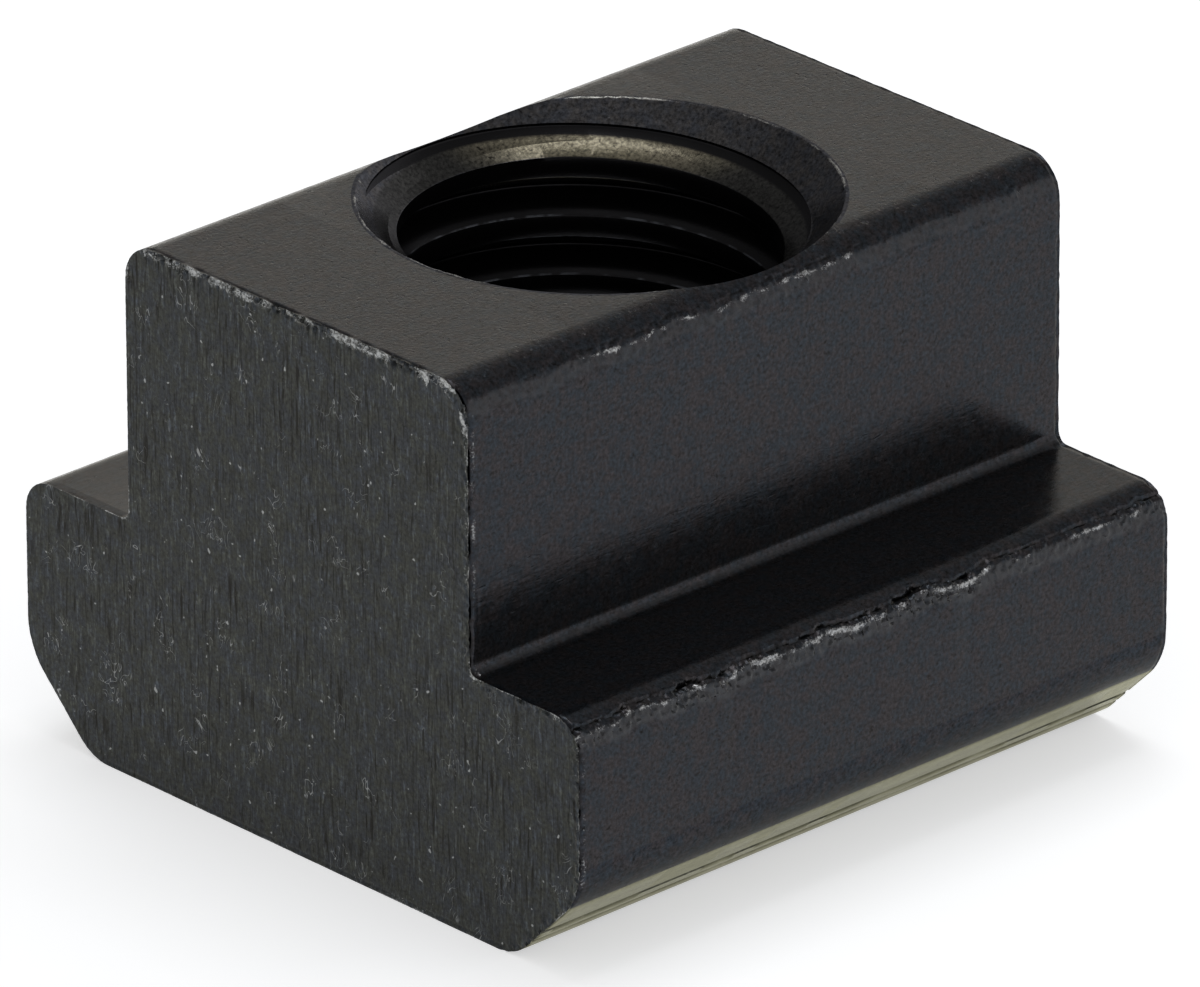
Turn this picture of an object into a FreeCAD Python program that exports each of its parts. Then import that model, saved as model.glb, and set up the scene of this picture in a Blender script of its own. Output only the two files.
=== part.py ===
import FreeCAD, Part
import math
import os

# A T-slot nut, sawn from a drawn bar, in millimetres.
# The origin lies on the axis of the tapped hole, in the plane of the underside.
# +Z points up through the neck, X runs along the slot and Y across it.

# Section of the bar, an inverted T
flange_width = 22.0  # the flange slides in the wide part of the slot
flange_height = 7.65  # from the underside to the shoulders
neck_width = 13.55  # the neck stands between the lips of the slot
height = 16.0  # from the underside to the top of the neck
base_chamfer = 2.55  # at 45 degrees along both lower edges
neck_edge_radius = 1.15  # long edges at the top of the neck
corner_radius = 0.35  # inside corner between neck and shoulder
flange_edge_radius = 1.0  # long edges of the shoulders
side_radius = 2.0  # where a side of the flange turns into its chamfer
base_radius = 1.4  # where a chamfer turns into the underside

# Piece sawn off the bar
length = 21.8

# Tapped hole, a metric thread of which the wall is the tapping drill's
thread_diameter = 12.0
thread_pitch = 1.75
rim_margin = 0.6  # the countersink's rim stands out this far beyond the thread
countersink_angle = 90.0
shift_along = 0.15  # the hole was drilled this far from the middle of the piece, along X
shift_across = 0.33  # and this far from the middle of the section, along Y
sink_along = 0.2  # the upper countersink was cut this far from the hole's axis, along X
sink_across = -0.18  # and this far along Y

drill_diameter = thread_diameter - thread_pitch
countersink_diameter = thread_diameter + 2 * rim_margin
cut_margin = 1.0  # a cutting tool runs on this far outside the metal


def edges_along(bar, corners):
    found = []
    for edge in bar.Edges:
        start = edge.firstVertex().Point
        end = edge.lastVertex().Point
        if math.hypot(end.y - start.y, end.z - start.z) > 1e-6:
            continue
        if any(math.hypot(start.y - y, start.z - z) < 1e-6 for y, z in corners):
            found.append(edge)
    return found


def sawn_bar():
    half_base = flange_width / 2 - base_chamfer
    half_flange = flange_width / 2
    half_neck = neck_width / 2
    right_side = [
        (half_base, 0.0, base_radius),
        (half_flange, base_chamfer, side_radius),
        (half_flange, flange_height, flange_edge_radius),
        (half_neck, flange_height, corner_radius),
        (half_neck, height, neck_edge_radius),
    ]
    outline = [(y, z) for y, z, radius in right_side]
    outline += [(-y, z) for y, z, radius in reversed(right_side)]
    points = [FreeCAD.Vector(-length / 2, y, z) for y, z in outline]
    section = Part.Face(Part.makePolygon(points + points[:1]))
    bar = section.extrude(FreeCAD.Vector(length, 0, 0))
    for y, z, radius in right_side:
        bar = bar.makeFillet(radius, edges_along(bar, [(y, z), (-y, z)]))
    bar.translate(FreeCAD.Vector(-shift_along, -shift_across, 0))
    return bar


# A cone that opens from its tip inside the metal out to the rim and on past it.
def countersink(along, across, rim_height, direction):
    slope = math.tan(math.radians(countersink_angle / 2))
    widest = countersink_diameter / 2 + cut_margin * slope
    base = FreeCAD.Vector(along, across, rim_height + direction * cut_margin)
    return Part.makeCone(widest, 0, widest / slope, base, FreeCAD.Vector(0, 0, -direction))


# Both ends of the bore are countersunk, the upper one a little off its axis.
def slot_nut():
    bore_base = FreeCAD.Vector(0, 0, -cut_margin)
    bore = Part.makeCylinder(drill_diameter / 2, height + 2 * cut_margin, bore_base)
    nut = sawn_bar().cut(bore)
    nut = nut.cut(countersink(sink_along, sink_across, height, 1))
    nut = nut.cut(countersink(0, 0, 0, -1))
    return nut.Solids[0]


os.makedirs("parts", exist_ok=True)
slot_nut().exportStep("parts/t_nut_body.step")
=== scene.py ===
import math

import bmesh
import bpy
from mathutils import Matrix, Vector, noise


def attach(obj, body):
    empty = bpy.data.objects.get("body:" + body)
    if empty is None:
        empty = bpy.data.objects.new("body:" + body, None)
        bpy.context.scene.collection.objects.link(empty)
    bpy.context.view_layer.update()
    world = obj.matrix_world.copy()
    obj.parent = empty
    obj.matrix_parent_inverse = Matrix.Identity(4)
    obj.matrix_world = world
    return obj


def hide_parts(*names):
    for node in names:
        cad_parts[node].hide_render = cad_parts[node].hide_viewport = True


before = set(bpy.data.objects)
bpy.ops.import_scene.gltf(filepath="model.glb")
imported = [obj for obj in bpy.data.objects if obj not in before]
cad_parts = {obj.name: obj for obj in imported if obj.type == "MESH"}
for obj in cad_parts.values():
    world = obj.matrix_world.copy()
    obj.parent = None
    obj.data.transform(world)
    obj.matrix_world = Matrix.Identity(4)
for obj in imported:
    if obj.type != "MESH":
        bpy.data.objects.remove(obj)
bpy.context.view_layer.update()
print("frame loaded")

scene = bpy.context.scene
scene.view_settings.view_transform = "Standard"
millimetre = 0.001


# camera, standing in front of the sawn end and to the right of it
cameraSettings = {
    "azimuth": -42.93,  # degrees round the nut, 0 looks along +Y
    "elevation": 24.605,
    "roll": -0.275,
    "distance": 492.54,  # millimetres from the target
    "target": (-0.255, -0.605, 7.405),
    "lens": 546.3,
    "sensorWidth": 36.0,
    "clip": (0.01, 10.0),  # metres
}


def makeCamera(settings):
    azimuth = math.radians(settings["azimuth"])
    elevation = math.radians(settings["elevation"])
    roll = math.radians(settings["roll"])
    level = math.cos(elevation)
    back = Vector((math.sin(azimuth) * level, -math.cos(azimuth) * level, math.sin(elevation)))
    right = Vector((math.cos(azimuth), math.sin(azimuth), 0))
    up = back.cross(right)
    rolledRight = right * math.cos(roll) + up * math.sin(roll)
    rolledUp = up * math.cos(roll) - right * math.sin(roll)
    place = (Vector(settings["target"]) + back * settings["distance"]) * millimetre
    data = bpy.data.cameras.new("camera")
    data.lens = settings["lens"]
    data.sensor_width = settings["sensorWidth"]
    data.clip_start, data.clip_end = settings["clip"]
    camera = bpy.data.objects.new("camera", data)
    turn = Matrix((rolledRight, rolledUp, back)).transposed()
    camera.matrix_world = Matrix.Translation(place) @ turn.to_4x4()
    scene.collection.objects.link(camera)
    scene.camera = camera


makeCamera(cameraSettings)
print("camera placed")


# node helpers
def addNode(tree, kind, **values):
    node = tree.nodes.new("ShaderNode" + kind)
    for key, value in values.items():
        setattr(node, key, value)
    return node


def feed(tree, target, source):
    if isinstance(source, bpy.types.NodeSocket):
        tree.links.new(source, target)
    else:
        target.default_value = source


def doMath(tree, operation, a, b=0.0):
    node = addNode(tree, "Math", operation=operation)
    feed(tree, node.inputs[0], a)
    feed(tree, node.inputs[1], b)
    return node.outputs[0]


def remap(tree, value, low, high, newLow=0.0, newHigh=1.0, smooth=False):
    node = addNode(tree, "MapRange", clamp=True)
    if smooth:
        node.interpolation_type = "SMOOTHSTEP"
    for socket, item in zip(node.inputs, (value, low, high, newLow, newHigh)):
        feed(tree, socket, item)
    return node.outputs[0]


def mixColour(tree, factor, a, b, blend="MIX"):
    node = addNode(tree, "Mix", data_type="RGBA", blend_type=blend)
    feed(tree, node.inputs["Factor"], factor)
    feed(tree, node.inputs[6], a)
    feed(tree, node.inputs[7], b)
    return node.outputs[2]


def noiseAt(tree, place, scale, detail=2.0, rough=0.5, distortion=0.0):
    node = addNode(tree, "TexNoise")
    feed(tree, node.inputs["Vector"], place)
    feed(tree, node.inputs["Scale"], scale)
    node.inputs["Detail"].default_value = detail
    node.inputs["Roughness"].default_value = rough
    node.inputs["Distortion"].default_value = distortion
    return node.outputs["Fac"]


def times(tree, a, b):
    return doMath(tree, "MULTIPLY", a, b)


def doVectorMath(tree, operation, a, b):
    node = addNode(tree, "VectorMath", operation=operation)
    feed(tree, node.inputs[0], a)
    feed(tree, node.inputs[1], b)
    return node.outputs


def stretch(tree, place, scale):
    return doVectorMath(tree, "MULTIPLY", place, scale)["Vector"]


def facing(tree, place, side):
    return doVectorMath(tree, "DOT_PRODUCT", place, side)["Value"]


def shade(tree, colour, level):
    node = addNode(tree, "VectorMath", operation="SCALE")
    feed(tree, node.inputs[0], colour)
    feed(tree, node.inputs["Scale"], level)
    return node.outputs[0]


def heightOf(tree, place):
    node = addNode(tree, "SeparateXYZ")
    feed(tree, node.inputs[0], place)
    return node.outputs["Z"]


# studio: a pale table and backdrop, a room that is darker above and to the left,
# and a soft box overhead, a little behind
studio = {
    "tableHalf": 0.6,  # metres
    "tableSquares": 4,
    "tableRoughness": 0.9,
    "tableColour": (0.84, 0.86, 0.89),
    "tableGlow": 0.5,  # what the camera and the reflections see over the lit table
    "backStops": [(0.0, 0.68), (0.5, 0.65), (0.62, 0.47), (0.8, 0.40), (1.0, 0.6)],
    "frontStops": [(0.0, 1.0), (0.47, 0.92), (0.58, 0.40), (0.8, 0.36), (1.0, 0.6)],
    "frontSide": (0.67, -0.74, 0.0),
    "frontRange": (0.0, 0.35),
    "leftSide": (-0.26, 0.966, 0.0),
    "leftRange": (0.56, 0.78),
    "leftLevel": 0.25,
    "skyTint": (1.0, 0.985, 0.965),
    "boxSize": 0.42,
    "boxPlace": (0.14, 0.08, 0.78),
    "boxPower": 1.25,
}


def skyRamp(tree, height, stops):
    ramp = addNode(tree, "ValToRGB")
    ramp.color_ramp.interpolation = "EASE"
    elements = ramp.color_ramp.elements
    while len(elements) < len(stops):
        elements.new(0.5)
    for element, (position, level) in zip(elements, stops):
        element.position = position
        element.color = (level, level, level, 1)
    feed(tree, ramp.inputs[0], height)
    return ramp.outputs[0]


def makeStudio(settings):
    world = bpy.data.worlds.new("studioSky")
    world.use_nodes = True
    tree = world.node_tree
    tree.nodes.clear()
    place = addNode(tree, "TexCoord").outputs["Generated"]
    height = heightOf(tree, place)

    def towards(side, low, high):
        return remap(tree, facing(tree, place, side), low, high, smooth=True)

    front = towards(settings["frontSide"], *settings["frontRange"])
    left = towards(settings["leftSide"], *settings["leftRange"])
    back = skyRamp(tree, height, settings["backStops"])
    ahead = skyRamp(tree, height, settings["frontStops"])
    level = mixColour(tree, front, back, ahead)
    dim = settings["leftLevel"]
    level = mixColour(tree, left, level, (dim, dim, dim, 1))
    tint = mixColour(tree, 1.0, level, (*settings["skyTint"], 1), "MULTIPLY")
    light = addNode(tree, "Background")
    feed(tree, light.inputs["Color"], tint)
    out = addNode(tree, "OutputWorld")
    feed(tree, out.inputs[0], light.outputs[0])
    scene.world = world

    table = bpy.data.materials.new("paleTable")
    table.use_nodes = True
    tree = table.node_tree
    shader = tree.nodes["Principled BSDF"]
    shader.inputs["Base Color"].default_value = (*settings["tableColour"], 1)
    shader.inputs["Roughness"].default_value = settings["tableRoughness"]
    shader.inputs["Specular IOR Level"].default_value = 0.0
    path = addNode(tree, "LightPath")
    seen = doMath(tree, "MAXIMUM", path.outputs["Is Camera Ray"], path.outputs["Is Glossy Ray"])
    seen = doMath(tree, "MAXIMUM", seen, path.outputs["Is Transmission Ray"])
    glow = times(tree, seen, settings["tableGlow"])
    shader.inputs["Emission Color"].default_value = (1, 1, 1, 1)
    feed(tree, shader.inputs["Emission Strength"], glow)

    shape = bmesh.new()
    squares = settings["tableSquares"]
    bmesh.ops.create_grid(shape, x_segments=squares, y_segments=squares, size=settings["tableHalf"])
    floor = finishMesh(shape, "table")
    floor.data.materials.append(table)

    data = bpy.data.lights.new("softBox", "AREA")
    data.shape = "SQUARE"
    data.size = settings["boxSize"]
    data.energy = settings["boxPower"]
    lamp = bpy.data.objects.new("softBox", data)
    lamp.location = settings["boxPlace"]
    scene.collection.objects.link(lamp)


def finishMesh(shape, name):
    mesh = bpy.data.meshes.new(name)
    shape.to_mesh(mesh)
    shape.free()
    made = bpy.data.objects.new(name, mesh)
    scene.collection.objects.link(made)
    return made


makeStudio(studio)
print("studio lit")


# places of the nut's finishes in its list of materials
finishes = {"skin": 0, "sawn": 1, "thread": 2, "cone": 3, "chamfer": 4, "rounding": 5}

# the nut, in millimetres until it is finished
nutSizes = {
    "length": 21.8,
    "sawnIn": 0.025,  # the sawn faces lie this far inside their burrs
    "topIn": 0.03,  # and the top flat this far
    "flangeWidth": 22.0,
    "flangeHeight": 7.65,
    "neckWidth": 13.55,
    "height": 16.0,
    "baseChamfer": 2.55,
    "neckEdge": 1.15,  # radii
    "corner": 0.35,
    "flangeEdge": 1.0,
    "side": 2.0,
    "base": 1.4,
    "shiftAlong": 0.15,
    "shiftAcross": 0.33,
    "slices": 200,  # along the bar
    "nearReach": 0.6,  # rings of points run round the bar within this of its near end
    "farReach": 0.5,
    "nearRings": [0.025, 0.05, 0.08, 0.12, 0.17, 0.23, 0.30],
    "farRings": [0.03, 0.08, 0.15],
    "nearSpacing": 0.07,  # of points round the outline
    "farSpacing": 0.16,
    "plainBelow": 0.02,  # the underside's outline is left as it is
    "nearInsets": [0.035, 0.04, 0.045, 0.05, 0.06, 0.09, 0.14, 0.18],
    "farInsets": [0.05, 0.08, 0.15],
    "endFacing": 0.9,  # parts of a face's normal, to tell the faces apart
    "sideFacing": 0.5,
    "chamferFacing": -0.6,
    "roundingFacing": -0.05,
    "sharpAngle": 35.0,
}

closeBy = 0.0001  # places nearer than this are the same

threadSizes = {
    "diameter": 12.0,
    "pitch": 1.75,
    "grooveHeight": 1.13,  # middle of the groove on the +X side
    "rootRadius": 6.1,
    "drillRadius": 5.22,
    "turnSteps": 96,
    "turns": 13,
    "turnsBelow": 3,  # of them below the measured one
    "rimRadius": 6.6,
    "sinkSlope": 45.0,
    "rimLip": 0.04,
    "rimRounding": [(-0.3, 0.32, 0.002), (0.3, 0.0, 0.003)],  # parts of the lip out and down, drop
    "ringDrop": 0.001,
    "tipRadius": 5.71,  # inside this the cutter's point is flatter
    "tipSlope": 30.0,
    "rimRing": 0.1,  # a row of points round the rim, to keep its wear off the flat
    "topShift": (0.2, -0.18),
    "sinkSteps": (360, 96),  # round the upper and the lower countersink
    "flankAngle": 30.0,
    "depthShare": 0.54125,  # of the pitch, from the nominal diameter in to the basic crest
    "edgeSoftness": 0.03,
    "tapRun": 1.2,  # the tap's groove runs on this far outside the nut
    "tapEnds": (-7.0, 24.0),  # heights of the tap's flat ends
    "weld": 0.002,
    "sinkWeld": 0.0005,
    "clearance": (0.02, 1.0),  # of each countersink's cutter, round its rim and beyond the face
    "crispBand": (10.0, 15.6),  # heights where the cone meets its flatter point in a crisp line
    "crispAngle": 10.0,
}


def barSection(shape, sizes, x, top):
    half = sizes["flangeWidth"] / 2
    neck = sizes["neckWidth"] / 2
    foot = half - sizes["baseChamfer"]
    corners = [  # across, up, radius, turn in degrees, segments on the near and on the far side
        (foot, 0.0, sizes["base"], 45, 6, 4),
        (half, sizes["baseChamfer"], sizes["side"], 45, 8, 6),
        (half, sizes["flangeHeight"], sizes["flangeEdge"], 90, 14, 8),
        (neck, sizes["flangeHeight"], sizes["corner"], 90, 10, 4),
        (neck, top, sizes["neckEdge"], 90, 14, 8),
    ]
    across = -sizes["shiftAcross"]
    right = [shape.verts.new((x, across - y, z)) for y, z, radius, turn, near, far in corners]
    left = [shape.verts.new((x, across + y, z)) for y, z, radius, turn, near, far in corners]
    shape.faces.new(right + left[::-1])
    for row, nearSide in ((right, True), (left, False)):
        for corner, (y, z, radius, turn, near, far) in zip(row, corners):
            reach = radius * math.tan(math.radians(turn / 2))
            bmesh.ops.bevel(shape, geom=[corner], offset=reach, offset_type="OFFSET",
                            segments=near if nearSide else far, profile=0.5, affect="VERTICES",
                            material=-1)


def cutAcross(shape, low, high, places):
    for place in places:
        verts = [vert for vert in shape.verts if low <= vert.co.x <= high]
        inside = set(verts)
        edges = [edge for edge in shape.edges if any(vert in inside for vert in edge.verts)]
        faces = [face for face in shape.faces if any(vert in inside for vert in face.verts)]
        bmesh.ops.bisect_plane(shape, geom=verts + edges + faces, plane_co=(place, 0, 0),
                               plane_no=(1, 0, 0))


def refineOutline(shape, low, high, spacing, plainBelow):
    groups = {}
    for edge in shape.edges:
        a, b = (vert.co for vert in edge.verts)
        inside = low <= a.x <= high and abs(a.x - b.x) < closeBy and max(a.z, b.z) > plainBelow
        cuts = round(edge.calc_length() / spacing) - 1 if inside else 0
        if cuts > 0:
            groups.setdefault(cuts, []).append(edge)
    for cuts, edges in groups.items():
        bmesh.ops.subdivide_edges(shape, edges=edges, cuts=cuts, use_grid_fill=True)


def refineBand(shape, chosen, cuts):
    inside = {vert for vert in shape.verts if chosen(vert.co)}
    edges = [edge for edge in shape.edges if all(vert in inside for vert in edge.verts)]
    bmesh.ops.subdivide_edges(shape, edges=edges, cuts=cuts, use_grid_fill=True)


def keyed(table, place):
    for (x0, y0), (x1, y1) in zip(table, table[1:]):
        if place <= x1:
            return y0 + (y1 - y0) * max(0.0, (place - x0) / (x1 - x0))
    return table[-1][1]


def bump(value, width):
    return math.exp(-(value / width) ** 2)


def band(value, shape):
    place, width, strength = shape
    return strength * bump(value - place, width)


def grainAt(place, size, seed):
    return noise.noise(place / size + Vector((seed, seed * 1.7, seed * 0.3)))


def raggedAt(place, look):
    size, least, mean, swing, seed = look
    return max(least, mean + swing * grainAt(place, size, seed))


# torn and bruised long edges of the bar, each round its own corner; angles run from the side to the top
longEdges = [
    {
        "corner": ("flangeWidth", "flangeHeight", "flangeEdge"),
        "refine": (8, 76),
        "line": 37.0,
        "wander": 9.0,
        "rubAndFilletHighlight": 0.9,
        "crackAt": 0.20,
        "lip": 0.045,
        "crack": 0.085,
        "crumple": 0.055,
        "seed": 3.0,
        "strength": [
            (-11, 0.75), (-9.4, 0.8), (-8.0, 0.7), (-7.4, 1.1), (-5.4, 1.1), (-4.9, 0.8), (-4.2, 1.0),
            (-3.2, 0.7), (-1.6, 1.0), (0.7, 1.0), (1.0, 1.15), (2.9, 1.15), (3.6, 1.0), (3.9, 0.55),
            (5.2, 0.75), (6.0, 0.55), (9.5, 0.7), (11, 0.5),
        ],
    },
    {
        "corner": ("neckWidth", "height", "neckEdge"),
        "refine": (8, 60),
        "line": 34.0,
        "wander": 7.0,
        "rubAndFilletHighlight": 0.55,
        "crackAt": 0.16,
        "lip": 0.018,
        "crack": 0.018,
        "crumple": 0.035,
        "seed": 11.0,
        "strength": [
            (-11, 0.3), (-8.5, 0.2), (-6.6, 0.8), (-3.3, 0.7), (-2.4, 0.3), (-1.2, 0.9), (3.0, 0.8),
            (3.8, 0.3), (8.8, 0.25), (9.2, 0.8), (9.6, 0.2), (11, 0.1),
        ],
    },
]

# what a tear looks like across its line; bands are place, width and strength, counted towards the top
tear = {
    "waves": ((1.3, 1.0, 0), (0.3, 0.45, 5)),  # length, share and seed of each wave of the line
    "ragged": (0.35, 0.4, 0.8, 1.1),  # size, least, mean and swing; elsewhere a seed follows
    "lipWidth": 0.06,
    "crackWidth": 0.05,
    "darkWidth": 0.045,
    "backLip": 0.12,  # from the crack to the lip behind it
    "backShare": 0.5,
    "backWear": 0.35,
    "crumpleSize": 0.11,
    "crumpled": ((0.0, 0.3, 1.0), (-0.3, 0.25, 1.0)),
    "wornLine": (-0.02, 0.07, 1.2),
    "wornSide": (-0.12, 0.22, 0.6),
    "rubbed": (-0.38, -0.08),
    "rubWidth": 0.08,
}

# the near sawn end; gaps count in from the sawn face, depths in from its outline
nearEnd = {
    "reach": 0.32,
    "plain": {"depth": 0.035, "width": 0.045, "dark": 0.6, "beside": (0.15, 0.1, 0.25),
              "ragged": (0.5, 0.0, 0.6, 1.2, 21.0)},
    "deep": {"depth": 0.12, "width": 0.06, "dark": 1.0, "beside": (0.17, 0.1, 0.75),
             "ragged": (0.5, 0.4, 0.6, 1.2, 21.0)},
    "deepBeyond": 6.2,  # the deep groove runs down the two corners nearest the front
    "deepAbove": 2.2,
    "deepFacing": 0.3,
    "farBeyond": 6.0,
    "farShare": 0.12,  # of the groove and burr left on the far long side
    "grooveAt": 0.06,
    "fine": (0.12, 23.0),  # size and seed
    "burr": (0.0, 0.03, 0.025),
    "wornRim": (0.0, 0.035, 1.2),
    "upper": 1.4,  # so much of the face's top is crumpled more
    "lowerShare": 0.5,
    "crumpleFrom": 0.05,
    "crumpleDepth": 0.27,
    "crumple": (1.6, -0.1, 0.07),  # scale and shift of the fine noise, and depth
    "crumpleLimits": (-0.07, 0.024),
    "sideways": (0.15, 29.0, 31.0, 0.02),  # size, two seeds and reach
    "wornUpper": 1.3,
    "wornLower": 1.2,
    "scarDepth": 0.02,
}

farEnd = {
    "reach": 0.2,
    "fine": (0.2, 37.0),
    "groove": (0.07, 0.05, 0.035),
    "ragged": 0.6,
    "wornRim": (0.0, 0.05, 0.6),
    "burr": (0.0, 0.15, 0.03),
    "burrLimit": 0.02,
    "wornFace": (0.0, 0.12, 0.6),
}

# smears and a curled burr by the front corner of the sawn face, as places across and up it
endScars = {
    "lines": [
        [(-5.42, 15.93), (-5.55, 15.6), (-5.48, 15.36)],
        [(-5.84, 15.83), (-6.3, 15.6), (-6.75, 15.25), (-6.9, 14.95)],
        [(-6.1, 15.9), (-6.6, 15.72)],
    ],
    "halfWidth": 0.06,
    "strength": 1.6,
}

paintedFilletHighlight = (0.143, 0.012, 1.3)  # a painted highlight: a bright line along the middle of the inside corner
faceSlack = 0.002  # points within this of a sawn face lie on it
outlineDepth = 0.03  # and those within this of its outline lie on that
wearLimit = 1.1
diagonal = 0.7071  # of a unit step at 45 degrees, along each axis


def scarAt(place):
    nearest = math.inf
    spot = Vector((place.y, place.z))
    for line in endScars["lines"]:
        for start, end in zip(line, line[1:]):
            a, b = Vector(start), Vector(end)
            share = min(1.0, max(0.0, (spot - a).dot(b - a) / (b - a).length_squared))
            nearest = min(nearest, (spot - a.lerp(b, share)).length)
    return endScars["strength"] * bump(nearest, endScars["halfWidth"])


# creases along the near chamfer
chamferCrease = {
    "heights": [0.66, 1.07],
    "depths": [0.02, 0.065],
    "halfWidths": [0.05, 0.08],
    "rows": (-1, -0.3, 0.3, 1),  # in half widths from the middle
    "centre": 0.03,  # rows this near the middle are folded in
    "clearance": 0.2,  # below the chamfer's upper edge
    "ragged": (1.1, 0.25, 0.8, 0.9, 41.0),
}


def cornerCentre(sizes, edge):
    width, height, radius = (sizes[key] for key in edge["corner"])
    if edge["corner"][1] == "height":
        height -= sizes["topIn"]
    return -sizes["shiftAcross"] - width / 2 + radius, height - radius, radius


def cornerAngle(centre, place):
    slack = 0.01
    y, z, radius = centre
    out = y - place.y
    rise = place.z - z
    if min(out, rise) < -slack or abs(math.hypot(out, rise) - radius) > 2 * slack:
        return None
    return math.degrees(math.atan2(max(rise, 0.0), max(out, 0.0)))


def insideCorner(centre, place, first, last):
    angle = cornerAngle(centre, place)
    return angle is not None and first <= angle <= last


def addCreaseRows(shape, sizes, crease):
    foot = -sizes["shiftAcross"] - sizes["flangeWidth"] / 2 + sizes["baseChamfer"]
    steep = sizes["chamferFacing"]
    for height, halfWidth in zip(crease["heights"], crease["halfWidths"]):
        for row in crease["rows"]:
            rise = height + row * halfWidth
            faces = [face for face in shape.faces if face.normal.y < steep and face.normal.z < steep]
            inside = set(faces)
            edges = [edge for edge in shape.edges if any(face in inside for face in edge.link_faces)]
            verts = [vert for vert in shape.verts if any(face in inside for face in vert.link_faces)]
            bmesh.ops.bisect_plane(shape, geom=verts + edges + faces, plane_co=(0, foot - rise, rise),
                                   plane_no=(0, -1, 1))


def finishFor(normal, sizes):
    if abs(normal.x) > sizes["endFacing"]:
        return finishes["sawn"]
    if abs(normal.y) > sizes["sideFacing"] and normal.z < sizes["chamferFacing"]:
        return finishes["chamfer"]
    if abs(normal.y) > sizes["sideFacing"] and normal.z < sizes["roundingFacing"]:
        return finishes["rounding"]
    return finishes["skin"]


def sawnBar(sizes):
    slack = 0.001
    outside = 1.0
    shape = bmesh.new()
    low = -sizes["length"] / 2 - sizes["shiftAlong"] + sizes["sawnIn"]
    high = sizes["length"] / 2 - sizes["shiftAlong"] - sizes["sawnIn"]
    barSection(shape, sizes, low, sizes["height"] - sizes["topIn"])
    grown = bmesh.ops.extrude_face_region(shape, geom=shape.faces[:])["geom"]
    ends = [item for item in grown if isinstance(item, bmesh.types.BMVert)]
    bmesh.ops.translate(shape, vec=(high - low, 0, 0), verts=ends)
    bmesh.ops.recalc_face_normals(shape, faces=shape.faces)
    caps = [face for face in shape.faces if abs(face.normal.x) > sizes["endFacing"]]
    bmesh.ops.delete(shape, geom=caps, context="FACES_ONLY")
    along = [edge for edge in shape.edges if edge.calc_length() > high - low - slack]
    bmesh.ops.subdivide_edges(shape, edges=along, cuts=sizes["slices"] - 1, use_grid_fill=True)

    addCreaseRows(shape, sizes, chamferCrease)
    for edge in longEdges:
        centre = cornerCentre(sizes, edge)
        first, last = edge["refine"]
        refineBand(shape, lambda place: insideCorner(centre, place, first, last), 1)

    nearRings = [low + depth for depth in sizes["nearRings"]]
    farRings = [high - depth for depth in sizes["farRings"]]
    cutAcross(shape, low - outside, low + sizes["nearReach"], nearRings)
    cutAcross(shape, high - sizes["farReach"], high + outside, farRings)
    below = sizes["plainBelow"]
    refineOutline(shape, low - slack, nearRings[-1] + slack, sizes["nearSpacing"], below)
    refineOutline(shape, farRings[-1] - slack, high + slack, sizes["farSpacing"], below)
    rims = [edge for edge in shape.edges if edge.is_boundary]
    caps = bmesh.ops.holes_fill(shape, edges=rims, sides=0)["faces"]
    bmesh.ops.recalc_face_normals(shape, faces=shape.faces)
    for cap in caps:
        for step in sizes["nearInsets"] if cap.normal.x < 0 else sizes["farInsets"]:
            bmesh.ops.inset_region(shape, faces=[cap], thickness=step, use_even_offset=True)
    for face in shape.faces:
        face.material_index = finishFor(face.normal, sizes)
    return shape, low, high


def depthInSection(sizes, place):
    y = abs(place.y + sizes["shiftAcross"])
    half = sizes["flangeWidth"] / 2
    chamfer = (place.z + half - sizes["baseChamfer"] - y) * diagonal
    inFlange = min(half - y, sizes["flangeHeight"] - place.z, place.z, chamfer)
    inNeck = min(sizes["neckWidth"] / 2 - y, sizes["height"] - sizes["topIn"] - place.z, place.z)
    return max(inFlange, inNeck, 0.0)


def raiseMark(marks, name, value):
    marks[name] = max(marks[name], value)


def tearLongEdge(marks, edge, centre, place, outward):
    angle = cornerAngle(centre, place)
    if angle is None:
        return
    seed = edge["seed"]
    strength = keyed(edge["strength"], place.x)
    line = edge["line"]
    for size, share, shift in tear["waves"]:
        line += edge["wander"] * share * grainAt(Vector((place.x, 0, 0)), size, seed + shift)
    over = math.radians(angle - line) * centre[2]
    behind = over - edge["crackAt"]
    ragged = raggedAt(place, (*tear["ragged"], seed + 1))
    backLip = bump(behind - tear["backLip"], tear["lipWidth"])
    flap = bump(over, tear["lipWidth"]) * edge["lip"] - bump(behind, tear["crackWidth"]) * edge["crack"]
    flap += backLip * edge["lip"] * tear["backShare"]
    crumpled = sum(band(over, shape) for shape in tear["crumpled"])
    fine = grainAt(place, tear["crumpleSize"], seed + 2) * edge["crumple"] * crumpled
    marks["move"] += outward * strength * (flap * ragged + fine)
    worn = band(over, tear["wornLine"]) * ragged + band(over, tear["wornSide"])
    raiseMark(marks, "wear", strength * worn)
    raiseMark(marks, "wear", tear["backWear"] * strength * backLip)
    first, last = tear["rubbed"]
    raiseMark(marks, "rubAndFilletHighlight", edge["rubAndFilletHighlight"] * bump(max(0.0, over - last, first - over), tear["rubWidth"]))
    raiseMark(marks, "crack", strength * bump(behind, tear["darkWidth"]) * min(1.0, ragged))


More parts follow.
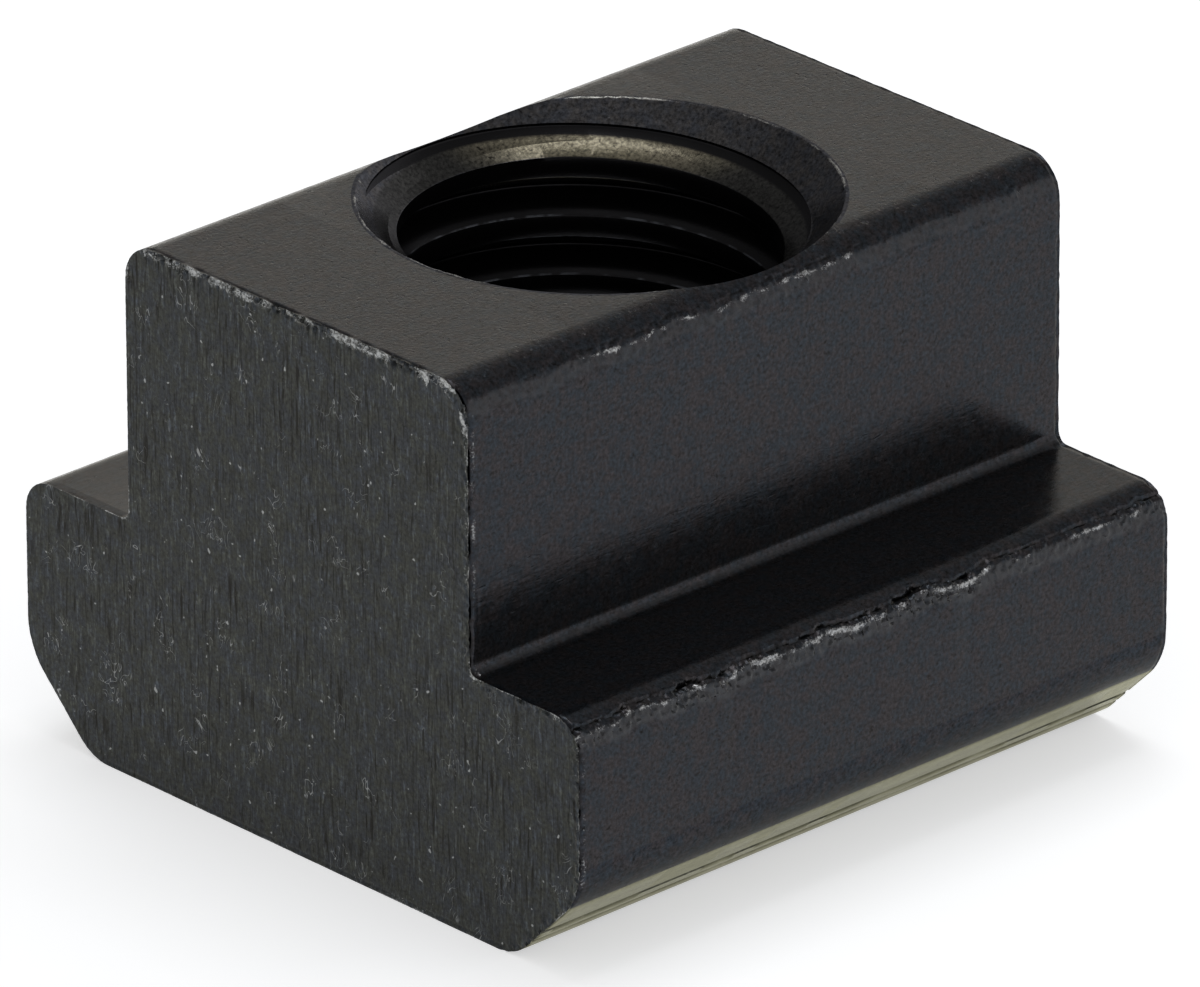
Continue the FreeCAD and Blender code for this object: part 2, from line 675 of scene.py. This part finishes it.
def wearNearEnd(marks, sizes, place, outward, gap, facing):
    near = nearEnd
    middle = -sizes["shiftAcross"]
    onFace = gap < faceSlack
    inside = depthInSection(sizes, place) if onFace else 0.0
    atFront = place.y < middle - near["deepBeyond"] and place.z > near["deepAbove"]
    groove = near["deep"] if atFront and facing > near["deepFacing"] else near["plain"]
    share = near["farShare"] if place.y > middle + near["farBeyond"] else 1.0
    fine = grainAt(place, *near["fine"])
    if inside < outlineDepth:
        cut = bump(gap - near["grooveAt"], groove["width"]) * raggedAt(place, groove["ragged"])
        marks["move"] -= outward * groove["depth"] * cut * share
        marks["move"] += outward * band(gap, near["burr"]) * fine * share
        raiseMark(marks, "crack", cut * groove["dark"])
        raiseMark(marks, "wear", band(gap, near["wornRim"]))
        raiseMark(marks, "wear", band(gap, groove["beside"]))
    if onFace:
        upper = place.z > sizes["height"] - near["upper"]
        crumpled = bump(max(0.0, inside - near["crumpleFrom"]), near["crumpleDepth"])
        crumpled *= 1.0 if upper else near["lowerShare"]
        scale, shift, depth = near["crumple"]
        first, last = near["crumpleLimits"]
        marks["move"].x -= min(last, max(first, (fine * scale + shift) * depth * crumpled)) * share
        size, seedAcross, seedUp, reach = near["sideways"]
        slide = Vector((0, grainAt(place, size, seedAcross), grainAt(place, size, seedUp)))
        marks["move"] += slide * reach * crumpled * share
        worn = near["wornUpper"] if upper else near["wornLower"]
        raiseMark(marks, "wear", crumpled * worn * (1 + share) / 2)
        marks["scar"] = scarAt(place)
        marks["move"].x -= near["scarDepth"] * min(1.0, marks["scar"])


def wearFarEnd(marks, sizes, place, outward, gap):
    onFace = gap < faceSlack
    inside = depthInSection(sizes, place) if onFace else 0.0
    fine = grainAt(place, *farEnd["fine"])
    if inside < outlineDepth:
        marks["move"] -= outward * band(gap, farEnd["groove"]) * (farEnd["ragged"] + fine)
        raiseMark(marks, "wear", band(gap, farEnd["wornRim"]))
    if onFace:
        marks["move"].x += min(farEnd["burrLimit"], fine * band(inside, farEnd["burr"]))
        raiseMark(marks, "wear", band(inside, farEnd["wornFace"]))


def foldCreases(marks, sizes, place, foot):
    slack = 0.01
    crease = chamferCrease
    if place.y >= foot or place.z >= sizes["baseChamfer"] - crease["clearance"]:
        return
    for height, depth in zip(crease["heights"], crease["depths"]):
        if abs(place.z - height) < crease["centre"] and abs(place.y - foot + place.z) < slack:
            ragged = raggedAt(Vector((place.x, height, 0)), crease["ragged"])
            marks["move"] += Vector((0, diagonal, diagonal)) * depth * ragged
            raiseMark(marks, "crack", min(1.0, ragged) * depth / crease["depths"][0])


def wearBar(shape, sizes, low, high):
    layers = {name: shape.verts.layers.float.new(name) for name in ("wear", "crack", "rubAndFilletHighlight")}
    shape.normal_update()
    centres = [cornerCentre(sizes, edge) for edge in longEdges]
    middle = -sizes["shiftAcross"]
    half = sizes["flangeWidth"] / 2
    neck = sizes["neckWidth"] / 2
    foot = middle - half + sizes["baseChamfer"]
    least = 0.01  # a normal with less than this across the bar points along it
    moves = []
    for vert in shape.verts:
        place = vert.co.copy()
        outward = Vector((0, vert.normal.y, vert.normal.z))
        if outward.length > least:
            outward.normalize()
        marks = {"move": Vector(), "wear": 0.0, "crack": 0.0, "rubAndFilletHighlight": 0.0, "scar": 0.0}
        for edge, centre in zip(longEdges, centres):
            tearLongEdge(marks, edge, centre, place, outward)
        if place.x - low < nearEnd["reach"]:
            wearNearEnd(marks, sizes, place, outward, place.x - low, abs(vert.normal.y))
        elif high - place.x < farEnd["reach"]:
            wearFarEnd(marks, sizes, place, outward, high - place.x)
        foldCreases(marks, sizes, place, foot)
        fillet = math.hypot(abs(place.y - middle) - neck, place.z - sizes["flangeHeight"])
        vert[layers["wear"]] = min(wearLimit, marks["wear"]) + marks["scar"]
        # the crack mark says where painted shade darkens the grooves, creases and tears
        vert[layers["crack"]] = min(1.0, marks["crack"])
        # the rub mark carries the rubbed edges and also the painted highlight along the inside corner
        vert[layers["rubAndFilletHighlight"]] = min(1.0, max(marks["rubAndFilletHighlight"], band(fillet, paintedFilletHighlight)))
        moves.append((vert, marks["move"]))
    for vert, move in moves:
        vert.co += move
        vert.co.x = min(max(vert.co.x, low - sizes["sawnIn"]), high + sizes["sawnIn"])
        vert.co.y = min(max(vert.co.y, middle - half), middle + half)
        vert.co.z = max(vert.co.z, 0.0)


def threadTap(sizes, top):
    pitch = sizes["pitch"]
    root = sizes["rootRadius"]
    crest = sizes["drillRadius"]
    slope = math.tan(math.radians(sizes["flankAngle"]))
    basicCrest = sizes["diameter"] / 2 - sizes["depthShare"] * pitch
    mouth = pitch * 3 / 8 - (crest - basicCrest) * slope  # half the groove's width at the crests
    flat = mouth - (root - crest) * slope
    soft = sizes["edgeSoftness"]
    half = [
        (root, 0.0),
        (root, flat - soft),
        (root - soft, flat + soft * slope),
        ((root + crest) / 2, (flat + mouth) / 2),
        (crest + soft, mouth - soft * slope),
        (crest, mouth + soft),
        (crest, pitch / 2),
    ]
    steps = sizes["turnSteps"]
    turns = sizes["turns"]
    bottom = sizes["grooveHeight"] - sizes["turnsBelow"] * pitch
    shape = bmesh.new()
    row = [shape.verts.new((radius, 0, bottom - rise)) for radius, rise in reversed(half)]
    row += [shape.verts.new((radius, 0, bottom + rise)) for radius, rise in half[1:]]
    edges = [shape.edges.new(pair) for pair in zip(row, row[1:])]
    bmesh.ops.spin(shape, geom=row + edges, cent=(0, 0, 0), axis=(0, 0, 1),
                   dvec=(0, 0, pitch / steps), angle=math.tau * turns, steps=steps * turns,
                   use_duplicate=False)
    bmesh.ops.remove_doubles(shape, verts=shape.verts, dist=sizes["weld"])
    run = sizes["tapRun"]
    for vert in shape.verts:  # outside the nut the tap runs out to a plain rod
        if not -run < vert.co.z < top + run:
            vert.co.xy = vert.co.xy.normalized() * crest
    rims = [edge for edge in shape.edges if edge.is_boundary]
    grown = bmesh.ops.extrude_edge_only(shape, edges=rims)["geom"]
    low, high = sizes["tapEnds"]
    for item in grown:
        if isinstance(item, bmesh.types.BMVert):
            item.co.z = low if item.co.z < top / 2 else high
    bmesh.ops.remove_doubles(shape, verts=shape.verts, dist=sizes["weld"])
    rims = [edge for edge in shape.edges if edge.is_boundary]
    bmesh.ops.holes_fill(shape, edges=rims, sides=0)
    bmesh.ops.recalc_face_normals(shape, faces=shape.faces)
    return shape


def countersink(sizes, height, up, steps):
    rim = sizes["rimRadius"]
    lip = sizes["rimLip"]
    ring = sizes["rimRing"]
    slope = math.tan(math.radians(sizes["sinkSlope"]))
    tip = sizes["tipRadius"]
    tipHeight = height - (rim - tip) * slope
    around, above = sizes["clearance"]
    profile = [
        (0.0, tipHeight - tip * math.tan(math.radians(sizes["tipSlope"]))),
        (tip, tipHeight),
        (rim - lip - ring, height - (lip + ring) * slope),
        (rim - lip, height - lip * slope),
        *((rim + lip * out, height - lip * down - drop) for out, down, drop in sizes["rimRounding"]),
        (rim + ring, height - sizes["ringDrop"]),
        (rim + ring + around, height + around),
        (rim + ring + around, height + above),
        (0.0, height + above),
    ]
    if not up:
        profile = [(radius, height - z) for radius, z in profile]
    shape = bmesh.new()
    row = [shape.verts.new((radius, 0, z)) for radius, z in profile]
    edges = [shape.edges.new(pair) for pair in zip(row, row[1:])]
    bmesh.ops.spin(shape, geom=row + edges, cent=(0, 0, 0), axis=(0, 0, 1), dvec=(0, 0, 0),
                   angle=math.tau, steps=steps, use_merge=True, use_duplicate=False)
    bmesh.ops.remove_doubles(shape, verts=shape.verts, dist=sizes["sinkWeld"])
    bmesh.ops.recalc_face_normals(shape, faces=shape.faces)
    if up:
        bmesh.ops.translate(shape, vec=(*sizes["topShift"], 0), verts=shape.verts)
    return shape


# nicks and burrs round the rim; angles are in degrees from +X
rimWear = {
    "strength": [
        (-180, 0.7), (-168, 1.0), (-160, 0.5), (-140, 0.25), (-125, 0.5), (-118, 0.7), (-112, 0.2),
        (-104, 0.7), (-96, 0.3), (-80, 0.5), (-70, 0.8), (-52, 0.7), (-45, 0.5), (-40, 1.0),
        (-28, 0.9), (-12, 0.4), (-4, 0.5), (8, 0.6), (14, 0.2), (29, 0.25), (31, 1.2), (52, 1.2),
        (58, 0.15), (130, 0.15), (142, 0.8), (165, 0.9), (180, 0.7),
    ],
    "depth": 0.12,  # below the flat top
    "reach": 0.04,
    "full": 0.013,  # from the rim, where the wear is at its strongest
    "ragged": (0.22, 51.0),
    "swing": (0.5, 1.2),
    "rise": 0.028,
    "lowest": -0.02,
    "sideways": (0.3, 53.0),
    "sideReach": 0.03,
}


def wearRim(mesh, sizes, top, limit):
    shape = bmesh.new()
    shape.from_mesh(mesh)
    wear = shape.verts.layers.float["wear"]
    x, y = sizes["topShift"]
    mean, swing = rimWear["swing"]
    for vert in shape.verts:
        place = vert.co
        radius = math.hypot(place.x - x, place.y - y)
        away = abs(radius - sizes["rimRadius"])
        if place.z < top - rimWear["depth"] or away > rimWear["reach"] * 2:
            continue
        angle = math.degrees(math.atan2(place.y - y, place.x - x))
        strength = keyed(rimWear["strength"], angle)
        near = bump(max(0.0, away - rimWear["full"]), rimWear["reach"] / 2)
        ragged = mean + swing * grainAt(place, *rimWear["ragged"])
        vert[wear] = min(1.0, max(vert[wear], near * strength))
        place.z += near * max(rimWear["lowest"], min(1.0, strength) * rimWear["rise"] * ragged)
        place.z = min(place.z, limit)
        side = near * strength * rimWear["sideReach"] * grainAt(place, *rimWear["sideways"])
        place.x += (place.x - x) / radius * side
        place.y += (place.y - y) / radius * side
    shape.to_mesh(mesh)
    shape.free()


def sharpenMouth(mesh, thread):
    low, high = (height * millimetre for height in thread["crispBand"])
    limit = math.radians(thread["crispAngle"])
    shape = bmesh.new()
    shape.from_mesh(mesh)
    for edge in shape.edges:
        inside = all(low < vert.co.z < high for vert in edge.verts)
        if inside and all(face.material_index == finishes["cone"] for face in edge.link_faces):
            edge.smooth = edge.smooth and edge.calc_face_angle(0.0) < limit
    shape.to_mesh(mesh)
    shape.free()


def makeNut(sizes, thread, materials):
    height = sizes["height"]
    top = height - sizes["topIn"]
    upperSteps, lowerSteps = thread["sinkSteps"]
    shape, low, high = sawnBar(sizes)
    wearBar(shape, sizes, low, high)
    nut = finishMesh(shape, "t_nut")
    cutters = [
        (finishMesh(threadTap(thread, height), "tap"), "thread"),
        (finishMesh(countersink(thread, top, True, upperSteps), "sinkTop"), "cone"),
        (finishMesh(countersink(thread, height, False, lowerSteps), "sinkBottom"), "cone"),
    ]
    for material in materials:
        nut.data.materials.append(material)
    for cutter, finish in cutters:
        cutter.data.materials.append(materials[finishes[finish]])
        cut = nut.modifiers.new(cutter.name, "BOOLEAN")
        cut.operation = "DIFFERENCE"
        cut.solver = "EXACT"
        cut.material_mode = "TRANSFER"
        cut.object = cutter
    depsgraph = bpy.context.evaluated_depsgraph_get()
    mesh = bpy.data.meshes.new_from_object(nut.evaluated_get(depsgraph))
    nut.modifiers.clear()
    nut.data = mesh
    for cutter, finish in cutters:
        bpy.data.objects.remove(cutter)
    wearRim(mesh, thread, top, height)
    mesh.transform(Matrix.Scale(millimetre, 4))
    mesh.polygons.foreach_set("use_smooth", [True] * len(mesh.polygons))
    mesh.set_sharp_from_angle(angle=math.radians(sizes["sharpAngle"]))
    sharpenMouth(mesh, thread)
    weighted = nut.modifiers.new("flatFaces", "WEIGHTED_NORMAL")
    weighted.keep_sharp = True
    return nut


# patches in the nut's finishes: a noise of scale, detail, roughness and distortion, and the
# range of it that turns into a mask, followed by the mask's own limits where they are not 0 and 1
mottle = {
    "hue": {"noise": (2.6, 4.0, 0.7), "range": (0.40, 0.60)},
    "fine": (9.0, 3.0, 0.7),
    "contrast": 4.0,
    "dark": {"noise": (6.5, 2.0, 0.6, 0.6), "range": (0.64, 0.72)},
    "least": 0.12,
}

bareMetal = {
    "clumps": {"noise": (1.3, 2.0), "range": (0.36, 0.6, 0.25, 1.0)},
    "flecks": (4.0, 0.8, 0.8),  # after the scale
    "edge": 0.80,
    "chance": 0.38,
    "softness": 0.15,
    "broken": {"noise": (16.0, 2.0, 0.6), "range": (0.37, 0.57, 0.25, 1.0)},
}

surfaceGrain = {
    "grain": (4.0, 0.6),  # after the scale
    "pits": {"noise": (7.0, 1.0, 0.5, 0.4), "range": (0.66, 0.76)},
}


def patches(tree, place, look):
    return remap(tree, noiseAt(tree, place, *look["noise"]), *look["range"])


# shader groups that the nut's materials share
def newGroup(name, inputs, outputs):
    group = bpy.data.node_groups.new(name, "ShaderNodeTree")
    for side, sockets in (("INPUT", inputs), ("OUTPUT", outputs)):
        for label, kind, *usual in sockets:
            socket = group.interface.new_socket(label, in_out=side, socket_type="NodeSocket" + kind)
            if usual:
                socket.default_value = usual[0]
    start = group.nodes.new("NodeGroupInput")
    finish = group.nodes.new("NodeGroupOutput")
    return group, start.outputs, finish.inputs


def oxideMottleGroup(look):
    group, given, result = newGroup("oxideMottle", [
        ("Place", "Vector"),
        ("Cool", "Color"),
        ("Warm", "Color"),
        ("Grain", "Float"),
        ("Flecks", "Float"),
    ], [("Colour", "Color")])
    colour = mixColour(group, patches(group, given["Place"], look["hue"]), given["Cool"], given["Warm"])
    fine = doMath(group, "SUBTRACT", noiseAt(group, given["Place"], *look["fine"]), 0.5)
    fine = times(group, fine, given["Grain"])
    fine = times(group, fine, look["contrast"])
    level = doMath(group, "ADD", fine, 1.0)
    dark = times(group, patches(group, given["Place"], look["dark"]), given["Flecks"])
    level = doMath(group, "MAXIMUM", doMath(group, "SUBTRACT", level, dark), look["least"])
    feed(group, result["Colour"], shade(group, colour, level))
    return group


def bareEdgeGroup(look):
    group, given, result = newGroup("bareEdge", [
        ("Place", "Vector"),
        ("Mask", "Float"),
        ("Cover", "Float"),
        ("Scale", "Float", 13.0),
    ], [("Bare", "Float")])
    chance = times(group, given["Mask"], given["Cover"])
    chance = times(group, chance, patches(group, given["Place"], look["clumps"]))
    edge = doMath(group, "SUBTRACT", look["edge"], times(group, chance, look["chance"]))
    flecks = noiseAt(group, given["Place"], given["Scale"], *look["flecks"])
    bare = remap(group, doMath(group, "SUBTRACT", flecks, edge), 0.0, look["softness"])
    broken = patches(group, given["Place"], look["broken"])
    feed(group, result["Bare"], times(group, bare, broken))
    return group


def grainHeightGroup(look):
    group, given, result = newGroup("grainHeight", [
        ("Place", "Vector"),
        ("Scale", "Float", 8.0),
        ("Pits", "Float", 0.4),
    ], [("Height", "Float")])
    grain = noiseAt(group, given["Place"], given["Scale"], *look["grain"])
    pits = times(group, patches(group, given["Place"], look["pits"]), given["Pits"])
    feed(group, result["Height"], doMath(group, "SUBTRACT", grain, pits))
    return group


oxideMottle = oxideMottleGroup(mottle)
bareEdge = bareEdgeGroup(bareMetal)
grainHeight = grainHeightGroup(surfaceGrain)


def useGroup(tree, group, **values):
    node = addNode(tree, "Group", node_tree=group)
    for key, value in values.items():
        feed(tree, node.inputs[key], value)
    return node.outputs[0]


metalShare = 0.78  # the oxide film scatters a little


def startMaterial(name):
    material = bpy.data.materials.new(name)
    material.use_nodes = True
    tree = material.node_tree
    place = addNode(tree, "TexCoord").outputs["Object"]
    place = stretch(tree, place, Vector((1, 1, 1)) / millimetre)  # patterns count in millimetres
    return material, tree, place


def finishMaterial(material, colour, roughness, height, look):
    tree = material.node_tree
    shader = tree.nodes["Principled BSDF"]
    feed(tree, shader.inputs["Base Color"], colour)
    feed(tree, shader.inputs["Roughness"], roughness)
    shader.inputs["Metallic"].default_value = metalShare
    shader.inputs["Specular Tint"].default_value = look["tint"]
    node = addNode(tree, "Bump")
    node.inputs["Strength"].default_value = 1.0
    node.inputs["Distance"].default_value = look["bumpHeight"]
    feed(tree, node.inputs["Height"], height)
    feed(tree, shader.inputs["Normal"], node.outputs["Normal"])
    return material


def readAttribute(tree, name):
    return addNode(tree, "Attribute", attribute_name=name).outputs["Fac"]


# painted shade: the grooves, creases and tears of the crack mark are darkened to near black
def paintCrackShade(tree, colour, look):
    crack = remap(tree, readAttribute(tree, "crack"), *look["crackRange"])
    return mixColour(tree, crack, colour, look["crackShadeColour"])


crackShade = {"crackRange": (0.15, 0.8), "crackShadeColour": (0.003, 0.003, 0.0035, 1)}
steelTint = (1.0, 0.97, 0.90, 1)

drawnSkin = {
    "oxide": {"Cool": (0.0175, 0.0225, 0.0300, 1), "Warm": (0.0255, 0.0230, 0.0262, 1),
              "Grain": 0.9, "Flecks": 0.6},
    "rubAndHighlightPatches": {"noise": (5.0, 2.0), "range": (0.35, 0.6, 0.4, 1.0)},
    # colour of the rubbed edges, and also of the painted highlight along the inside corner
    "rubbed": (0.048, 0.050, 0.055, 1),
    **crackShade,
    "cover": 1.15,
    "bare": (0.40, 0.41, 0.42, 1),
    "roughness": {"noise": (3.0, 2.0), "range": (0.3, 0.7, 0.16, 0.28)},
    "tint": steelTint,
    "drawn": (0.25, 1.0, 1.0),
    "bumpHeight": 0.000004,
    "topHeights": (15.75, 15.95),
    "topGrain": 3.5,  # how much rougher the flat top is
    "topPattern": {"Scale": 10.0, "Pits": 1.0},
}

roundedSkin = {
    **drawnSkin,
    "oxide": {
        **drawnSkin["oxide"],
        "Cool": (0.0190, 0.0243, 0.0324, 1),
        "Warm": (0.0276, 0.0249, 0.0283, 1),
    },
    "tint": (0.55, 0.55, 0.53, 1),  # painted shade: the rounding above the chamfer reflects less, standing in for the shaded floor near the foot that it reflects
}


def drawnSkinMaterial(look, name):
    material, tree, place = startMaterial(name)
    colour = useGroup(tree, oxideMottle, Place=place, **look["oxide"])
    # rubbed edges, and the painted highlight along the inside corner, in patches
    rubbed = patches(tree, place, look["rubAndHighlightPatches"])
    rubbed = times(tree, readAttribute(tree, "rubAndFilletHighlight"), rubbed)
    colour = mixColour(tree, rubbed, colour, look["rubbed"])
    colour = paintCrackShade(tree, colour, look)
    wear = readAttribute(tree, "wear")
    bare = useGroup(tree, bareEdge, Place=place, Mask=wear, Cover=look["cover"])
    colour = mixColour(tree, bare, colour, look["bare"])
    roughness = patches(tree, place, look["roughness"])
    onTop = remap(tree, heightOf(tree, place), *look["topHeights"])
    onTop = times(tree, onTop, look["topGrain"])
    coarse = useGroup(tree, grainHeight, Place=place, **look["topPattern"])
    coarse = times(tree, coarse, onTop)
    fine = useGroup(tree, grainHeight, Place=stretch(tree, place, look["drawn"]))
    return finishMaterial(material, colour, roughness, doMath(tree, "ADD", fine, coarse), look)


sawnFace = {
    "oxide": {"Cool": (0.0205, 0.0243, 0.0298, 1), "Warm": (0.0242, 0.0263, 0.0232, 1),
              "Grain": 0.8, "Flecks": 0.5},
    "sawn": (1.0, 9.0, 0.65),  # the blade ran down the face
    "darkLines": {"noise": (1.0, 3.0, 0.6, 0.3), "range": (0.53, 0.61)},
    "darkAreas": {"noise": (0.6, 2.0), "range": (0.40, 0.60, 0.35, 1.0)},
    "streaks": 1.0,
    "paleSawn": (1.0, 9.0, 1.2),
    "paleLines": {"noise": (1.0, 3.0, 0.65, 0.4), "range": (0.54, 0.66, 0.0, 1.1)},
    **crackShade,
    "cover": 1.25,
    "speckShape": (1.0, 1.0, 0.7),
    "specks": {"Mask": 0.46, "Cover": 1.0, "Scale": 12.0},
    "speckShare": 0.7,
    "spots": {"noise": (4.5, 1.0), "range": (0.76, 0.79, 0.0, 0.6)},
    "scratchShape": (1.0, 1.6, 1.0),
    "scratch": (1.0, 1.0, 0.5, 2.5),
    "scratchWidth": (0.003, 0.012, 1.0, 0.0),
    "scratchAreas": {"noise": (0.9, 2.0), "range": (0.57, 0.63)},
    "scratches": 0.5,
    "bare": (0.40, 0.41, 0.41, 1),
    "roughness": 0.32,
    "tint": steelTint,
    "bumpScale": 1.6,
    "bumpHeight": 0.000004,
}


def sawnFaceMaterial(look):
    material, tree, place = startMaterial("sawnBlackOxide")
    colour = useGroup(tree, oxideMottle, Place=place, **look["oxide"])
    lines = stretch(tree, place, look["sawn"])
    dark = patches(tree, lines, look["darkLines"])
    dark = times(tree, dark, patches(tree, place, look["darkAreas"]))
    level = doMath(tree, "SUBTRACT", 1.0, times(tree, dark, look["streaks"]))
    pale = patches(tree, stretch(tree, place, look["paleSawn"]), look["paleLines"])
    colour = shade(tree, colour, doMath(tree, "ADD", level, pale))
    colour = paintCrackShade(tree, colour, look)
    wear = readAttribute(tree, "wear")
    edge = useGroup(tree, bareEdge, Place=place, Mask=wear, Cover=look["cover"])
    speckPlace = stretch(tree, place, look["speckShape"])
    specks = useGroup(tree, bareEdge, Place=speckPlace, **look["specks"])
    bare = doMath(tree, "MAXIMUM", edge, times(tree, specks, look["speckShare"]))
    bare = doMath(tree, "MAXIMUM", bare, patches(tree, place, look["spots"]))
    # thin scratches along one level of a bent noise
    scratch = noiseAt(tree, stretch(tree, place, look["scratchShape"]), *look["scratch"])
    scratch = doMath(tree, "ABSOLUTE", doMath(tree, "SUBTRACT", scratch, 0.5))
    scratch = remap(tree, scratch, *look["scratchWidth"])
    scratch = times(tree, scratch, patches(tree, place, look["scratchAreas"]))
    bare = doMath(tree, "MAXIMUM", bare, times(tree, scratch, look["scratches"]))
    colour = mixColour(tree, bare, colour, look["bare"])
    height = useGroup(tree, grainHeight, Place=lines, Scale=look["bumpScale"])
    return finishMaterial(material, colour, look["roughness"], height, look)


# the thread and the cones; radii and heights are in millimetres
boreWall = {
    "bright": (0.125, 0.114, 0.084, 1),  # the last flank under the mouth, where it faces the light
    # painted shade: the same flank where it turns away from the light
    "side": (0.028, 0.028, 0.027, 1),
    "brightTowards": (0.70, 0.714, 0.0),
    "flank": {"Grain": 0.9, "Flecks": 0.8},
    # painted shade: the thread inside the hole is coloured darker than the oxide outside
    "deep": (0.010, 0.010, 0.011, 1),
    # painted highlight: the lighter colour on the convex edges of the crests, in patches
    "crest": (0.05, 0.054, 0.062, 1),
    "crestHighlightRadii": [(5.222, 5.228), (5.25, 5.27, 1.0, 0.0)],
    "crestHighlightPatches": {"noise": (2.2, 3.0), "range": (0.46, 0.60)},
    "cone": {"Cool": (0.041, 0.044, 0.052, 1), "Warm": (0.054, 0.052, 0.053, 1),
             "Grain": 0.9, "Flecks": 0.5},
    "wornHeights": (15.84, 15.90),
    "cover": 2.0,
    "bare": (0.36, 0.36, 0.34, 1),
    "roughness": 0.23,
    "tint": (0.45, 0.45, 0.47, 1),
    "turned": (1, 1, 3),
    "bumpHeight": 0.000003,
}

flankLimits = {
    "facing": (3.9, 5.4),
    "radii": [(5.80, 5.88, 1.0, 0.0), (5.222, 5.24)],  # the crest itself is dark
    "heights": (14.0, 14.2),
}


def radiusAt(tree, place):
    node = addNode(tree, "VectorMath", operation="LENGTH")
    feed(tree, node.inputs[0], stretch(tree, place, (1.0, 1.0, 0.0)))
    return node.outputs["Value"]


def ringMask(tree, place, limits):
    radius = radiusAt(tree, place)
    first, second = (remap(tree, radius, *limit) for limit in limits)
    return times(tree, first, second)


def lastFlankGroup(limits):
    group, given, result = newGroup("lastFlank", [
        ("Place", "Vector"),
        ("Towards", "Vector"),
    ], [("Strip", "Float"), ("Bright", "Float")])
    bright = facing(group, given["Place"], given["Towards"])
    bright = remap(group, bright, *limits["facing"], smooth=True)
    feed(group, result["Bright"], bright)
    height = remap(group, heightOf(group, given["Place"]), *limits["heights"])
    strip = times(group, ringMask(group, given["Place"], limits["radii"]), height)
    feed(group, result["Strip"], strip)
    return group


lastFlank = lastFlankGroup(flankLimits)


def addFlank(tree, place, colour, look):
    node = addNode(tree, "Group", node_tree=lastFlank)
    feed(tree, node.inputs["Place"], place)
    node.inputs["Towards"].default_value = look["brightTowards"]
    # painted light and shade: the flank goes from its shaded to its lit colour as it turns towards the
    # light
    flank = mixColour(tree, node.outputs["Bright"], look["side"], look["bright"])
    flank = useGroup(tree, oxideMottle, Place=place, Cool=flank, Warm=flank, **look["flank"])
    return mixColour(tree, node.outputs["Strip"], colour, flank)


def threadMaterial(look):
    material, tree, place = startMaterial("tappedThread")
    # painted highlight on the crest edges; the rest of the thread keeps its painted shade
    edge = ringMask(tree, place, look["crestHighlightRadii"])
    edge = times(tree, edge, patches(tree, place, look["crestHighlightPatches"]))
    colour = mixColour(tree, edge, look["deep"], look["crest"])
    colour = addFlank(tree, place, colour, look)
    height = useGroup(tree, grainHeight, Place=stretch(tree, place, look["turned"]))
    return finishMaterial(material, colour, look["roughness"], height, look)


def coneMaterial(look):
    material, tree, place = startMaterial("countersunkMouth")
    colour = useGroup(tree, oxideMottle, Place=place, **look["cone"])
    colour = addFlank(tree, place, colour, look)
    atRim = remap(tree, heightOf(tree, place), *look["wornHeights"])
    wear = times(tree, readAttribute(tree, "wear"), atRim)
    bare = useGroup(tree, bareEdge, Place=place, Mask=wear, Cover=look["cover"])
    colour = mixColour(tree, bare, colour, look["bare"])
    height = useGroup(tree, grainHeight, Place=stretch(tree, place, look["turned"]))
    return finishMaterial(material, colour, look["roughness"], height, look)


chamferPaintedReflection = {
    # painted reflection: the chamfer is coloured far paler than the oxide elsewhere, standing in for
    # the bright floor it reflects
    "oxide": {"Cool": (0.125, 0.122, 0.100, 1), "Warm": (0.060, 0.060, 0.050, 1),
              "Grain": 0.8, "Flecks": 0.8},
    "ground": (0.12, 8.0, 8.0),
    "lines": {"noise": (1.0, 3.0, 0.6), "range": (0.47, 0.62)},
    "lineShare": 0.75,
    # painted shade in the creases of the chamfer
    "crackRange": (0.2, 0.9),
    "crackShadeColour": (0.01, 0.01, 0.01, 1),
    "roughness": 0.26,
    "tint": (1.0, 0.98, 0.72, 1),
    "drawn": (0.15, 1.0, 1.0),
    "bumpHeight": 0.000005,
}


def chamferMaterial(look):
    material, tree, place = startMaterial("chamferPaintedReflection")
    colour = useGroup(tree, oxideMottle, Place=place, **look["oxide"])
    lines = patches(tree, stretch(tree, place, look["ground"]), look["lines"])
    level = doMath(tree, "SUBTRACT", 1.0, times(tree, lines, look["lineShare"]))
    colour = paintCrackShade(tree, shade(tree, colour, level), look)
    height = useGroup(tree, grainHeight, Place=stretch(tree, place, look["drawn"]))
    return finishMaterial(material, colour, look["roughness"], height, look)


nutMaterials = [
    drawnSkinMaterial(drawnSkin, "drawnBlackOxide"),
    sawnFaceMaterial(sawnFace),
    threadMaterial(boreWall),
    coneMaterial(boreWall),
    chamferMaterial(chamferPaintedReflection),
    drawnSkinMaterial(roundedSkin, "roundedBlackOxide"),
]
print("materials mixed")

nut = makeNut(nutSizes, threadSizes, nutMaterials)
print("nut cut", len(nut.data.vertices), "vertices", len(nut.data.polygons), "faces")
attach(nut, "root")
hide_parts("t_nut_body")
